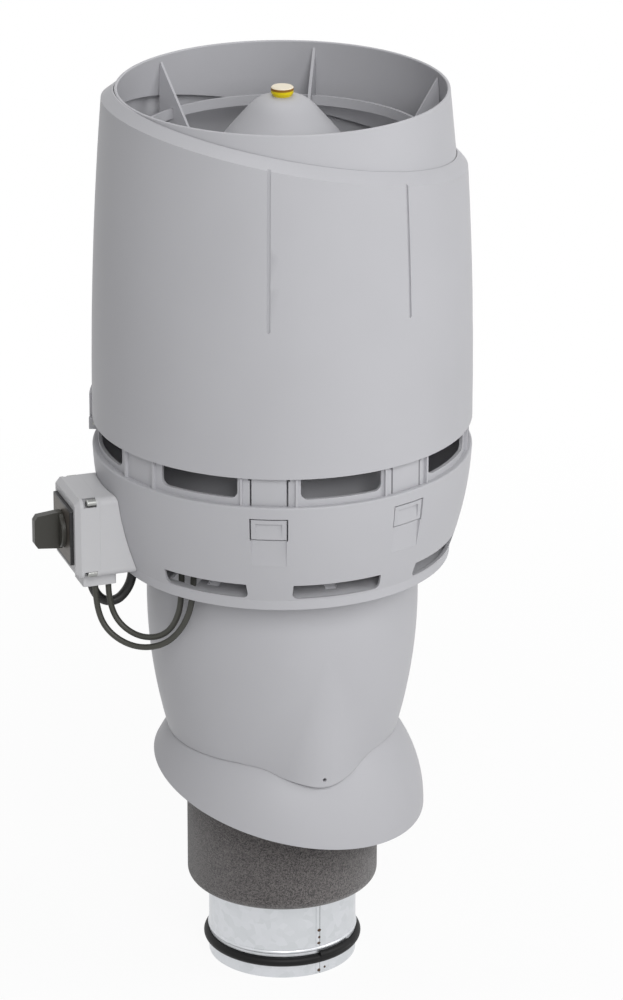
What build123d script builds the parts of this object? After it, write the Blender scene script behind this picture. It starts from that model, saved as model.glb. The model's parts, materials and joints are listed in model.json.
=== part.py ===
from build123d import *
from math import acos, atan, cos, degrees, pi, radians, sin, sqrt, tan
import os

# Roof exhaust fan on an insulated 125 mm duct, in millimetres.
# The origin is on the duct axis at the duct's lower end, +Z points up and the switch box is on -X.
# Angles around the axis are in degrees from +X, seen from above.

# Clearances
seat_gap = 0.3
pin_gap = 0.05
screw_gap = 0.2

# Galvanised duct, its rubber seal and the foam sleeve
duct_r = 62.2
duct_wall = 0.7
bead_z = 23.5
bead_half = 1.6
bead_out = 0.9
groove_in = 0.8
groove_side = 0.4
seal_z = 11.0
seal_h = 8.0
seal_out = 4.4
seal_foot = 1.2
seal_joint_start = 281.0
seal_joint_arc = 31.0
seal_joint_lift = 2.4
foam_r = 80.0
foam_low = 70.0
foam_edge = 7.0

# Roof skirt: part of a ball, cut off at the roof's pitch
ball_r = 118.8
ball_z = 138.5
skirt_wall = 3.0
skirt_tail = 20.0
roof_pitch = 14.4
roof_fall_at = 315.0
roof_axis_z = 165.0
neck_h = 27.0
neck_web = 3.0

# Tapered stand cover with a rounded nose over the skirt
stand_top_r = 112.0
stand_low_r = 96.0
stand_low_z = 211.0
stand_h = 167.0
stand_straight = 48.0
stand_bow = 4.1
stand_wall = 3.0
nose_at = 270.0
nose_half_w = 62.0
nose_drop = 17.0
nose_reach = 109.0
bow_top_z = 310.0
bow_low_z = 186.0
bow_steps = 4
nose_round = 45.0
nose_gap = 0.8
nose_hole_r = 1.6
nose_hole_up = 6.5

# Base ring: bowl, recessed band with windows, sloping floor, inner wall and deck
bowl_h = 94.0
bowl_top_r = 155.0
bowl_taper = 17.0
bowl_turn_h = 8.0
lip_taper = 0.6
bowl_bow = 3.4
bowl_wall = 3.0
bowl_below_stand_top = 11.0
bowl_edge = 1.4
shelf_t = 3.0
band_step = 5.0
band_wall = 2.8
band_h = 39.0
floor_t = 3.2
floor_lip = 4.0
floor_pitch = 20.0
socket_wall = 3.0
socket_depth = 33.0
deck_h = 65.0
deck_t = 3.0
panel_count = 8
window_w = 67.0
window_sill = 5.0
window_h = 24.0
window_round = 6.0
rib_w = 1.8
rib_out = 2.6
plain_rib_at = 6.5
latch_rib_at = 8.3
slot_w = 73.5
slot_h = 13.0
slot_sill = 10.0
slot_round = 5.0
drain_w = 10.0
drain_d = 6.0
drain_in = 16.0

# Service hinge of the hood
hinge_at = 157.5
hinge_in = 2.4
hinge_up = 15.5
knuckle_r = 4.0
knuckle_w = 26.0
ear_w = 4.0
ear_gap = 0.4
ear_over = 1.0
hinge_pin_r = 1.5
leaf_h = 24.5
leaf_out = 2.2

# Latch levers, two on the near side and two on the far side
latch_at = (247.5, 292.5, 22.5, 67.5)
latch_w = 28.2
latch_slit = 1.2
latch_front_gap = 0.8
latch_flare_w = 1.4
latch_flare_h = 3.4
latch_t = 2.6
pad_low = 28.0
pad_h = 17.0
pad_recess = 0.6
pad_gap = 1.2
pad_pocket_w = 21.0
pad_pocket_d = 1.8
pad_pocket_top = 3.4
pad_pocket_low = 1.2
ramp_h = 23.0
ramp_d = 1.9
latch_pivot_in = 11.5
latch_pivot_down = 6.0
latch_boss_r = 3.2
latch_pin_r = 1.5
latch_ear_w = 3.0
latch_ear_gap = 0.5
latch_ear_over = 1.0
latch_ear_lift = 0.4
tongue_over = 0.5
tongue_ease = 3.5
hook_ledge = 6.3
hook_h = 6.2
hook_neck = 3.5
hook_neck_t = 2.1
hook_tip = 0.5
hook_nose = 1.5
catch_w = 20.0
catch_in = 2.8
catch_low = 2.0
catch_t = 3.2

# Hood shell with its slanted shoulder
hood_show = 24.0
hood_h = 275.0
hood_in = 0.2
hood_taper = 12.6
hood_over = 15.0
hood_bow = 3.4
hood_wall = 3.0
shoulder_down = 27.5
shoulder_pitch = 11.6
shoulder_bevel = 8.5
groove_w = 2.6
groove_d = 1.4
groove_end_up = 121.0

# Outlet collar, its vanes, ring and hub
collar_in = 8.7
collar_draft = 0.1
collar_wall = 2.6
collar_gap = 0.5
collar_below = 20.0
collar_h = 80.0
rim_round = 1.0
vane_count = 6
vane_t = 2.4
vane_top_down = 3.0
vane_pitch = 58.8
vane_foot = 60.0
vane_foot_drop = 8.0
vane_root_drop = 4.0
ring_in = 13.5
ring_t = 2.5
ring_h = 8.0
ring_down = 42.0
hub_r = 72.0
hub_wall = 6.0
hub_h = 44.0
hub_down = 76.0

# Inner casing round the impeller, from the deck up to the vanes
casing_in = 2.8
casing_room = 17.0
casing_wall = 2.0
casing_lift = 1.0

# Dome over the motor and its plug
dome_flange_r = 74.0
dome_edge_t = 2.2
dome_tip_down = 7.5
dome_wall = 2.2
plug_r = 9.0
plug_h = 5.0
plug_neck_r = 6.5
plug_lip = 1.0
plug_bevel = 0.8

# External rotor motor
plate_t = 3.0
plate_hole_r = 16.0
flange_r = 40.0
stator_flange_t = 6.0
stator_core_r = 38.0
stator_core_h = 30.0
core_drop = 8.0
tube_over = 2.0
bearing_tube_r = 15.0
bearing_r = 11.0
bearing_h = 7.0
shaft_r = 5.0
shaft_bevel = 0.6
can_r = 46.0
can_wall = 3.0
can_h = 47.0
can_gap = 4.0
air_gap = 1.2
plate_screw_count = 6
stator_screw_count = 4
stator_screw_r = 28.0
screw_r = 2.0
screw_head_r = 3.8
screw_head_h = 2.4
screw_grip = 8.0

# Impeller and inlet nozzle
impeller_r = 95.0
impeller_h = 72.0
eye_r = 60.5
shroud_rise = 22.0
shroud_t = 2.0
disc_t = 3.0
blade_count = 7
blade_t = 2.2
blade_in_r = 63.0
blade_sweep = 46.0
blade_bow = 7.0
rotor_screw_count = 4
rotor_screw_r = 24.0
nozzle_wall = 2.0
nozzle_gap = 1.5
nozzle_side_gap = 1.0
nozzle_flange_r = 98.0
nozzle_flange_t = 2.5
nozzle_screw_count = 6
nozzle_screw_r = 88.0

# Stand screws, from the stand cover into the base ring's socket
stand_screw_count = 4
stand_screw_down = 10.0

# Isolator switch box
box_w = 64.0
box_h = 68.0
box_low_up = 5.0
box_at = 180.0
box_d = 30.0
cover_d = 20.0
box_round = 6.0
box_wall = 2.6
cover_bevel = 4.0
box_screw_in = 3.6
box_screw_r = 3.0
box_notch_r = 4.4
box_notch_len = 11.0
box_screw_down = 3.0
bezel_w = 48.0
bezel_t = 3.0
bezel_frame = 2.0
face_round = 1.0
face_t = 1.2
knob_base_r = 15.0
knob_base_h = 3.6
knob_rim_bevel = 0.8
knob_heel = 1.0
knob_blade_h = 31.0
knob_tip_h = 25.0
knob_blade_len = 20.0
knob_blade_w = 7.6
knob_bevel = 2.6
spindle_r = 3.0
switch_body_w = 40.0
switch_body_d = 13.0
gland_len = 28.0
gland_w = 26.0
gland_h = 10.5
gland_in = 22.0
gland_side = -9.0

# Cables: diameters, and routes chosen by hand from the gland to the clamp and the grommet
lead_d = 5.0
supply_d = 8.0
clamp_at = 213.0
clamp_w = 26.0
clamp_d = 18.0
clamp_h = 8.0
clamp_up = 29.0
corner_round = 2.0
grommet_r = 6.5
cable_hole_w = 27.0
cable_hole_d = 14.0

# Radii worked out from the driving sizes
bowl_turn_r = bowl_top_r - bowl_taper
bowl_low_r = bowl_turn_r - lip_taper
drain_r = bowl_turn_r - drain_in
band_r = bowl_top_r - band_step
hinge_r = bowl_top_r - hinge_in
latch_pivot_r = bowl_top_r - latch_pivot_in
hood_low_r = bowl_top_r - hood_in
hood_top_r = hood_low_r - hood_taper
collar_top_r = hood_top_r - collar_in
ring_r = collar_top_r - ring_in
casing_top_r = ring_r - casing_in
casing_low_r = impeller_r + casing_room
box_face_r = bowl_top_r + box_d
box_seam_r = box_face_r - cover_d
gland_r = box_face_r - gland_in
socket_r = stand_top_r - stand_wall - seat_gap

# Heights worked out from the driving sizes
stand_top_z = stand_low_z + stand_h
bowl_low_z = stand_top_z - bowl_below_stand_top
bowl_top_z = bowl_low_z + bowl_h
band_top_z = bowl_top_z + band_h
deck_top_z = stand_top_z + deck_h
hood_low_z = bowl_top_z + hood_show
rim_z = hood_low_z + hood_h
shoulder_z = rim_z - shoulder_down
hub_low_z = rim_z - hub_down - hub_h
hub_top_z = hub_low_z + hub_h
plate_low_z = hub_low_z - plate_t
stator_low_z = plate_low_z - stator_flange_t
can_top_z = stator_low_z - can_gap
can_low_z = can_top_z - can_h
disc_top_z = can_low_z
eye_z = disc_top_z - impeller_h
nozzle_top_z = eye_z - nozzle_gap
hinge_z = bowl_top_z + hinge_up
latch_pivot_z = bowl_top_z - latch_pivot_down
pad_low_z = bowl_top_z - pad_low
pad_top_z = pad_low_z + pad_h
box_low_z = bowl_low_z + box_low_up
box_mid_z = box_low_z + box_h / 2
panel_step = 360 / panel_count


def bow(start, end, rise):
    # Arc between two points of a profile, bulging away from the axis by rise
    run = (end[0] - start[0], end[1] - start[1])
    size = sqrt(run[0] ** 2 + run[1] ** 2)
    side = 1 if run[1] > 0 else -1
    middle = ((start[0] + end[0]) / 2, (start[1] + end[1]) / 2)
    top = (middle[0] + side * rise * run[1] / size, middle[1] - side * rise * run[0] / size)
    return ThreePointArc(start, top, end)


def profile(*lines):
    edges = []
    for line in lines:
        edges += line.edges()
    return make_face(edges)


def turned(outline, arc=360):
    return revolve(Plane.XZ * outline, Axis.Z, arc)


def polygon(*points):
    return profile(Polyline(*points, close=True))


def sector(outline, at, width, r):
    # Part of a turned ring: an outline of radius and height, as wide as width at radius r
    arc = degrees(width / r)
    return Rot(0, 0, at - arc / 2) * turned(outline, arc)


def block(r_in, r_out, low, high):
    return polygon((r_in, low), (r_out, low), (r_out, high), (r_in, high))


def facing(at, r=0, z=0):
    # Plane that faces outwards at an angle: x along the tangent, y up
    c = cos(radians(at))
    s = sin(radians(at))
    return Plane(origin=(r * c, r * s, z), x_dir=(-s, c, 0), z_dir=(c, s, 0))


def crosswise(at, r, z, radius, length, shift=0):
    # Cylinder along the tangent
    c = cos(radians(at))
    s = sin(radians(at))
    place = Plane(origin=(r * c, r * s, z), x_dir=(0, 0, 1), z_dir=(-s, c, 0))
    return place * Pos(0, 0, shift) * Cylinder(radius, length)


def around(shape, count, start=0):
    return [Rot(0, 0, start + 360 / count * i) * shape for i in range(count)]


def screw(grip=screw_grip, head_r=screw_head_r, head_h=screw_head_h):
    # Pan head screw with its head above the origin and its shank along -Z
    head = Pos(0, 0, head_h / 2) * Cylinder(head_r, head_h)
    head = fillet(head.edges().group_by(Axis.Z)[-1], min(head_h, head_r) * 0.4)
    return head + Pos(0, 0, -grip / 2) * Cylinder(screw_r, grip)


def slanted(z, pitch, fall_at):
    # Plane through the axis at height z that falls towards an angle
    k = tan(radians(pitch))
    return Plane(origin=(0, 0, z), z_dir=(k * cos(radians(fall_at)), k * sin(radians(fall_at)), 1))


def bowl_r(z):
    # Radius of the bowl's outer arc at a height
    low_z = bowl_low_z + bowl_turn_h
    share = (z - low_z) / (bowl_top_z - low_z)
    chord = bowl_turn_r + (bowl_top_r - bowl_turn_r) * share
    return chord + 4 * bowl_bow * share * (1 - share)


def bowl_solid(gap):
    low_z = bowl_low_z + bowl_turn_h
    outer = bow((bowl_turn_r + gap, low_z), (bowl_top_r + gap, bowl_top_z), bowl_bow)
    rest = Polyline(
        (bowl_top_r + gap, bowl_top_z),
        (0, bowl_top_z),
        (0, bowl_low_z - gland_h),
        (bowl_low_r + gap, bowl_low_z - gland_h),
        (bowl_low_r + gap, bowl_low_z),
        (bowl_turn_r + gap, low_z),
    )
    return turned(profile(outer, rest))


def make_inner_duct():
    inner = duct_r - duct_wall
    bead_low = bead_z - bead_half
    bead_top = bead_z + bead_half
    groove_low = seal_z - groove_side
    groove_top = seal_z + seal_h + groove_side
    roll_low = groove_low - duct_wall
    roll_top = groove_top + duct_wall
    return turned(profile(
        Polyline((duct_r, deck_top_z), (inner, deck_top_z), (inner, bead_top)),
        bow((inner, bead_top), (inner, bead_low), bead_out),
        Polyline((inner, bead_low), (inner, roll_top), (inner - groove_in, roll_top),
                 (inner - groove_in, roll_low), (inner, roll_low), (inner, 0), (duct_r, 0),
                 (duct_r, groove_low), (duct_r - groove_in, groove_low), (duct_r - groove_in, groove_top),
                 (duct_r, groove_top), (duct_r, bead_low)),
        bow((duct_r, bead_low), (duct_r, bead_top), bead_out),
        Line((duct_r, bead_top), (duct_r, deck_top_z)),
    ))


def seal_outline(low, inner):
    foot = duct_r + seal_foot
    return profile(
        Polyline((foot, low + seal_h), (inner, low + seal_h), (inner, low), (foot, low)),
        bow((foot, low), (foot, low + seal_h), seal_out - seal_foot),
    )


def make_duct_seal():
    ring = turned(seal_outline(seal_z, duct_r - groove_in + pin_gap))
    lap_outline = seal_outline(seal_z + seal_joint_lift, duct_r + seal_foot / 2)
    lap = Rot(0, 0, seal_joint_start) * turned(lap_outline, seal_joint_arc)
    return ring + lap


def make_insulation_sleeve():
    top = deck_top_z - deck_t - seat_gap
    sleeve = turned(block(duct_r + seat_gap, foam_r, foam_low, top))
    rim = sleeve.edges().filter_by(GeomType.CIRCLE).group_by(Axis.Z)[0].sort_by(SortBy.RADIUS)[-1]
    return fillet(rim, foam_edge)


neck_r = stand_low_r - stand_wall - seat_gap
neck_z = ball_z + sqrt(ball_r ** 2 - neck_r ** 2)
neck_top_z = neck_z + neck_h


def make_roof_skirt():
    inner_ball = ball_r - skirt_wall
    bore = neck_r - skirt_wall
    bore_z = ball_z + sqrt(inner_ball ** 2 - bore ** 2)
    tail_z = ball_z - skirt_tail
    outer_tail = (sqrt(ball_r ** 2 - skirt_tail ** 2), tail_z)
    inner_tail = (sqrt(inner_ball ** 2 - skirt_tail ** 2), tail_z)
    collar_r = foam_r + seat_gap
    web_z = neck_top_z - neck_web
    shell = turned(profile(
        ThreePointArc(outer_tail, (ball_r, ball_z), (neck_r, neck_z)),
        Polyline((neck_r, neck_z), (neck_r, neck_top_z), (collar_r, neck_top_z), (collar_r, web_z),
                 (bore, web_z), (bore, bore_z)),
        ThreePointArc((bore, bore_z), (inner_ball, ball_z), inner_tail),
        Line(inner_tail, outer_tail),
    ))
    return split(shell, slanted(roof_axis_z, roof_pitch, roof_fall_at), keep=Keep.TOP)


def stand_r(z):
    # Radius of the stand's bowed wall at a height
    share = (z - stand_low_z) / (stand_h - stand_straight)
    return stand_low_r + (stand_top_r - stand_low_r) * share + 4 * stand_bow * share * (1 - share)


def bow_section(z, inset):
    # Section of the stand: its circle, drawn out to the rounded nose with straight flanks
    wide = stand_r(z)
    share = (bow_top_z - z) / (bow_top_z - bow_low_z)
    start = stand_r(bow_top_z) + pin_gap
    shift = start + (nose_reach - start) * share - nose_round
    turn = acos((wide - nose_round) / shift)
    c = cos(turn)
    s = sin(turn)
    wide -= inset
    small = nose_round - inset
    left = (-wide * s, -wide * c)
    right = (wide * s, -wide * c)
    near_left = (-small * s, -shift - small * c)
    near_right = (small * s, -shift - small * c)
    outline = profile(
        ThreePointArc(left, (0, wide), right),
        Line(right, near_right),
        ThreePointArc(near_right, (0, -shift - small), near_left),
        Line(near_left, left),
    )
    return Pos(0, 0, z) * outline


def stand_solid(inset, top):
    heights = [bow_low_z + (bow_top_z - bow_low_z) * i / bow_steps for i in range(bow_steps + 1)]
    lower = loft([bow_section(z, inset) for z in heights])
    start = (stand_r(bow_top_z) - inset, bow_top_z)
    straight = (stand_top_r - inset, stand_top_z - stand_straight)
    middle_z = (start[1] + straight[1]) / 2
    upper = turned(profile(
        ThreePointArc(start, (stand_r(middle_z) - inset, middle_z), straight),
        Polyline(straight, (straight[0], top), (0, top), (0, bow_top_z), start),
    ))
    return lower + upper


def make_stand_cover():
    top = stand_top_z - seat_gap
    cover = stand_solid(0, top) - stand_solid(stand_wall, top)
    cover -= Pos(0, 0, ball_z) * Sphere(ball_r + nose_gap)
    tip_z = stand_low_z - nose_drop
    shield = polygon((-nose_half_w, stand_low_z), (0, tip_z), (nose_half_w, stand_low_z))
    shield = fillet(shield.vertices().sort_by(Axis.Y)[0], nose_round)
    prism = extrude(facing(nose_at) * shield, 2 * ball_r)
    below = Pos(0, 0, stand_low_z) * Box(4 * ball_r, 4 * ball_r, 4 * nose_drop,
                                         align=(Align.CENTER, Align.CENTER, Align.MAX))
    tip_rise = nose_round * (1 / cos(atan(nose_drop / nose_half_w)) - 1)
    hole = facing(nose_at, 0, tip_z + tip_rise + nose_hole_up) * Cylinder(
        nose_hole_r, 2 * ball_r, align=(Align.CENTER, Align.CENTER, Align.MIN))
    return cover - (below - prism) - hole


latch_slot_w = latch_w + 2 * latch_slit
shelf_cut_r = band_r + latch_front_gap


def base_blank():
    band_in = band_r - band_wall
    turn_z = bowl_low_z + bowl_turn_h
    lip_in = bowl_low_r - bowl_wall
    rise = tan(radians(floor_pitch))
    socket_in = socket_r - socket_wall
    floor_z = bowl_low_z + floor_lip
    floor_in_z = floor_z + (lip_in - socket_r) * rise
    floor_top = floor_z + floor_t
    deck_low = deck_top_z - deck_t
    shelf_in = bowl_top_r - bowl_wall
    shelf_low = bowl_top_z - shelf_t
    outer_turn = (bowl_turn_r, turn_z)
    inner_turn = (bowl_turn_r - bowl_wall, turn_z)
    blank = turned(profile(
        Polyline((band_in, band_top_z), (band_r, band_top_z), (band_r, bowl_top_z),
                 (bowl_top_r, bowl_top_z)),
        bow((bowl_top_r, bowl_top_z), outer_turn, bowl_bow),
        Polyline(outer_turn, (bowl_low_r, bowl_low_z), (lip_in, bowl_low_z), (lip_in, floor_z),
                 (socket_r, floor_in_z), (socket_r, stand_top_z - socket_depth),
                 (socket_in, stand_top_z - socket_depth), (socket_in, deck_low), (socket_r, deck_low),
                 (socket_r, floor_in_z + floor_t),
                 (lip_in, floor_top), inner_turn),
        bow(inner_turn, (shelf_in, shelf_low), bowl_bow),
        Polyline((shelf_in, shelf_low), (band_in, shelf_low), (band_in, band_top_z)),
    ))
    edge = blank.edges().filter_by(GeomType.CIRCLE).filter_by(
        lambda e: abs(e.radius - bowl_top_r) < 0.01 and abs(e.center().Z - bowl_top_z) < 0.01)
    return fillet(edge, bowl_edge)


def low_rounded(width, height, low, radius):
    shape = Pos(0, low + height / 2) * Rectangle(width, height)
    return fillet(shape.vertices().group_by(Axis.Y)[0], radius)


def latch_cuts(at):
    # Slits beside the tongue, the pad's window and the finger ramp under it
    reach = bowl_top_r + 2 * bowl_wall
    inner = latch_pivot_r - latch_boss_r - seat_gap
    flare_w = latch_slot_w + 2 * latch_flare_w
    top = band_top_z + bowl_wall
    slit_low = bowl_top_z - shelf_t - seat_gap
    slits = sector(block(inner, shelf_cut_r, slit_low, top), at, latch_slot_w, band_r)
    flare_low = hood_low_z - latch_flare_h
    flare = sector(block(inner, shelf_cut_r, flare_low, top), at, flare_w, band_r)
    window_low = pad_low_z - pad_gap
    window = sector(block(latch_pivot_r, reach, window_low, pad_top_z + pad_gap), at,
                    latch_w + 2 * pad_gap, bowl_r(pad_low_z))
    ramp_low = window_low - ramp_h
    ramp = sector(polygon((bowl_r(window_low) - ramp_d, window_low), (reach, window_low), (reach, ramp_low),
                          (bowl_r(ramp_low), ramp_low)), at, latch_w, bowl_r(pad_low_z))
    return [slits, flare, window, ramp]


def latch_ears(at):
    ear_r = latch_boss_r + latch_ear_over
    out = band_r - band_wall
    ears = []
    for side in (-1, 1):
        t = side * (latch_w / 2 + latch_ear_gap + latch_ear_w / 2 + latch_slit)
        ear = Pos(t, latch_pivot_z + latch_ear_lift) * Rectangle(latch_ear_w, 2 * ear_r)
        ears.append(extrude(facing(at, latch_pivot_r - ear_r) * ear, out - latch_pivot_r + ear_r))
    return ears


latch_pin_len = latch_w + 2 * (latch_ear_gap + latch_ear_w + latch_slit)


def make_base_ring():
    ring = base_blank()
    cuts = []
    adds = []
    for i in range(panel_count):
        at = i * panel_step
        sill = low_rounded(window_w, window_h, bowl_top_z + window_sill, window_round)
        cuts.append(extrude(facing(at, band_r - 4 * band_wall) * sill, 8 * band_wall))
        if at != box_at:
            slot = low_rounded(slot_w, slot_h, bowl_low_z + slot_sill, slot_round)
            cuts.append(extrude(facing(at, bowl_turn_r - 3 * bowl_wall) * slot, bowl_top_r - socket_r))
            drain = Rot(0, 0, at) * Pos(drain_r, 0, bowl_low_z + slot_sill) * Box(drain_d, drain_w, slot_h)
            cuts.append(drain)
    for i in range(panel_count):
        at = (i + 0.5) * panel_step
        if abs(at - hinge_at) < 1:
            continue
        half = latch_rib_at if at in latch_at else plain_rib_at
        for side in (-half, half):
            rib = block(band_r - band_wall / 2, band_r + rib_out, bowl_top_z - shelf_t / 2,
                        hood_low_z - seat_gap * 4)
            adds.append(sector(rib, at + side, rib_w, band_r))
    ear_t = knuckle_w / 2 + ear_gap + ear_w / 2
    for side in (-1, 1):
        lug = Pos(side * ear_t, hinge_z) * RectangleRounded(ear_w, 2 * (knuckle_r + ear_over), ear_over)
        root_r = band_r - 1.3 * band_wall
        adds.append(extrude(facing(hinge_at, root_r) * lug, hinge_r + knuckle_r - root_r))
    cuts.append(crosswise(hinge_at, hinge_r, hinge_z, knuckle_r + 2 * ear_gap, knuckle_w + 2 * ear_gap))
    cuts.append(crosswise(hinge_at, hinge_r, hinge_z, hinge_pin_r + pin_gap, 2 * knuckle_w))
    for at in latch_at:
        adds += latch_ears(at)
        cuts += latch_cuts(at)
        cuts.append(crosswise(at, latch_pivot_r, latch_pivot_z, latch_pin_r + pin_gap, latch_pin_len + 2))
    cuts.append(Rot(0, 0, clamp_at) * Pos(drain_r, 0, bowl_low_z + slot_sill)
                * Box(cable_hole_d, cable_hole_w, 2 * slot_h))
    cuts.append(Pos(supply_route[-1][0], supply_route[-1][1], bowl_low_z)
                * Cylinder(grommet_r + seat_gap, 4 * slot_h))
    return ring + adds - cuts


def pad_face_r(z):
    low = bowl_r(pad_low_z) - pad_recess
    top = bowl_r(pad_top_z) - pad_recess
    return low + (top - low) * (z - pad_low_z) / pad_h


def make_latch_lever(at):
    tongue_in = band_r - latch_t
    tongue_top = hood_low_z + tongue_over
    neck_in = band_r - hook_neck - hook_neck_t
    ledge_z = hood_low_z + hook_ledge
    neck_r_out = band_r - hook_neck
    nose_r = neck_r_out + hook_nose
    nose_z = ledge_z + hook_h
    outline = polygon(
        (pad_face_r(pad_low_z), pad_low_z), (pad_face_r(pad_top_z), pad_top_z), (band_r, pad_top_z),
        (band_r, tongue_top), (neck_r_out, tongue_top + 2 * tongue_over), (neck_r_out, ledge_z),
        (nose_r, ledge_z), (nose_r, ledge_z + hook_h / 2), (neck_r_out - hook_tip, nose_z),
        (neck_in, nose_z), (neck_in, tongue_top + tongue_over), (tongue_in, tongue_top - tongue_ease),
        (tongue_in, pad_low_z))
    lever = sector(outline, at, latch_w, bowl_r(pad_low_z))
    lever += crosswise(at, latch_pivot_r, latch_pivot_z, latch_boss_r, latch_w - 1)
    web = Pos(0, latch_pivot_z) * Rectangle(latch_w - 1, 2 * latch_boss_r)
    lever += extrude(facing(at, latch_pivot_r) * web, tongue_in - latch_pivot_r + latch_t / 2)
    pocket_top = pad_top_z - pad_pocket_top
    pocket_low = pad_low_z + pad_pocket_low
    pocket = polygon((pad_face_r(pocket_top) - pad_pocket_d, pocket_top), (bowl_top_r, pocket_top),
                     (bowl_top_r, pocket_low), (pad_face_r(pocket_low), pocket_low))
    lever -= sector(pocket, at, pad_pocket_w, bowl_r(pad_low_z))
    return lever - crosswise(at, latch_pivot_r, latch_pivot_z, latch_pin_r + pin_gap, 2 * latch_w)


def make_latch_pins():
    return [crosswise(at, latch_pivot_r, latch_pivot_z, latch_pin_r, latch_pin_len) for at in latch_at]


def make_hinge_pin():
    return crosswise(hinge_at, hinge_r, hinge_z, hinge_pin_r, knuckle_w + 2 * (ear_gap + ear_w))


def collar_r(z):
    return collar_top_r + collar_draft * (rim_z - z)


def collar_cone(gap, low, high):
    return turned(polygon((0, low), (collar_r(low) + gap, low), (collar_r(high) + gap, high), (0, high)))


def shoulder_plane(down):
    return slanted(shoulder_z - down / cos(radians(shoulder_pitch)), shoulder_pitch, 0)


def hood_blank(inset):
    # Solid hood inside the wall by inset, cut off on the slant and bevelled
    top_z = rim_z + hood_over
    low = (hood_low_r - inset, hood_low_z)
    high = (hood_top_r - inset, top_z)
    solid = turned(profile(
        bow(low, high, hood_bow),
        Polyline(high, (0, top_z), (0, hood_low_z), low),
    ))
    solid = split(solid, shoulder_plane(inset), keep=Keep.BOTTOM)
    crest = solid.faces().filter_by(GeomType.PLANE).sort_by(Axis.Z)[-1]
    return chamfer(crest.outer_wire().edges(), shoulder_bevel)


def make_hood_shell():
    shell = hood_blank(0) - hood_blank(hood_wall)
    shell -= collar_cone(collar_gap, shoulder_z - collar_h, rim_z + 2 * hood_over)
    for at in latch_at:
        c = cos(radians(at))
        groove_top = shoulder_z - c * hood_low_r * tan(radians(shoulder_pitch))
        groove_low = hood_low_z + groove_end_up
        run = groove_top - groove_low
        outline = low_rounded(groove_w, run, groove_low, groove_w * 0.45)
        skin = hood_low_r - groove_d
        keep_in = turned(profile(
            bow((skin, hood_low_z), (hood_top_r - groove_d, rim_z + hood_over), hood_bow),
            Polyline((hood_top_r - groove_d, rim_z + hood_over), (0, rim_z + hood_over), (0, hood_low_z),
                     (skin, hood_low_z)),
        ))
        shell -= extrude(facing(at) * outline, 2 * hood_low_r) - keep_in
    for at in latch_at:
        catch_r = hood_low_r - hood_wall - catch_in
        catch = block(catch_r, hood_low_r - hood_wall / 2, hood_low_z + catch_low,
                      hood_low_z + catch_low + catch_t)
        shell += sector(catch, at, catch_w, catch_r)
    leaf = block(hood_low_r - hood_wall / 3, hood_low_r + leaf_out, hinge_z, hinge_z + leaf_h)
    shell += sector(leaf, hinge_at, knuckle_w, hood_low_r)
    shell += crosswise(hinge_at, hinge_r, hinge_z, knuckle_r, knuckle_w)
    return shell - crosswise(hinge_at, hinge_r, hinge_z, hinge_pin_r + pin_gap, 2 * knuckle_w)


def make_outlet_collar():
    low = shoulder_z - collar_h
    tube = collar_cone(0, low, rim_z) - collar_cone(-collar_wall, low - 1, rim_z + 1)
    rim = tube.edges().filter_by(GeomType.CIRCLE).group_by(Axis.Z)[-1]
    tube = fillet(rim, rim_round)
    return split(tube, shoulder_plane(collar_below), keep=Keep.TOP)


def vane_ring_outline(gap=0):
    top = rim_z - ring_down
    return block(ring_r - ring_t - gap, ring_r + gap, top - ring_h - gap, top + gap)


def make_outlet_vanes():
    vane_top = rim_z - vane_top_down
    vane_out = collar_r(vane_top) - collar_wall / 2
    hub_mid = hub_r - hub_wall / 2
    vane_in_z = vane_top - (vane_out - hub_r) * tan(radians(vane_pitch))
    vane = polygon((hub_mid, vane_in_z - vane_root_drop), (hub_r, vane_in_z), (vane_out, vane_top),
                   (vane_out, vane_top - vane_foot),
                   (ring_r - ring_t, vane_top - vane_foot - vane_foot_drop),
                   (hub_mid, hub_low_z + hub_wall))
    fin = extrude(Plane.XZ * vane, vane_t / 2, both=True)
    fin = fin & collar_cone(-collar_wall - seat_gap, hub_low_z, rim_z)
    fin -= turned(vane_ring_outline(seat_gap))
    hub = turned(block(hub_r - hub_wall, hub_r, hub_low_z, hub_top_z))
    vanes = hub + around(fin, vane_count)
    hole = Pos(hub_r - hub_wall / 2, 0, hub_low_z) * Cylinder(screw_r + screw_gap, 2 * screw_grip + 1)
    return vanes - around(hole, plate_screw_count, 180 / plate_screw_count)


def make_vane_ring():
    return turned(vane_ring_outline())


def vane_low_z(r):
    # Height of the vanes' lower edge at a radius
    inner_r = hub_r - hub_wall / 2
    inner_z = hub_low_z + hub_wall
    outer_z = rim_z - vane_top_down - vane_foot - vane_foot_drop
    return inner_z + (outer_z - inner_z) * (r - inner_r) / (ring_r - ring_t - inner_r)


def make_inner_casing():
    low = deck_top_z + casing_lift
    top_in = casing_top_r - casing_wall
    top = vane_low_z(top_in) - seat_gap
    return turned(polygon((casing_low_r, low), (casing_top_r, top), (top_in, top),
                          (casing_low_r - casing_wall, low)))


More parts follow.
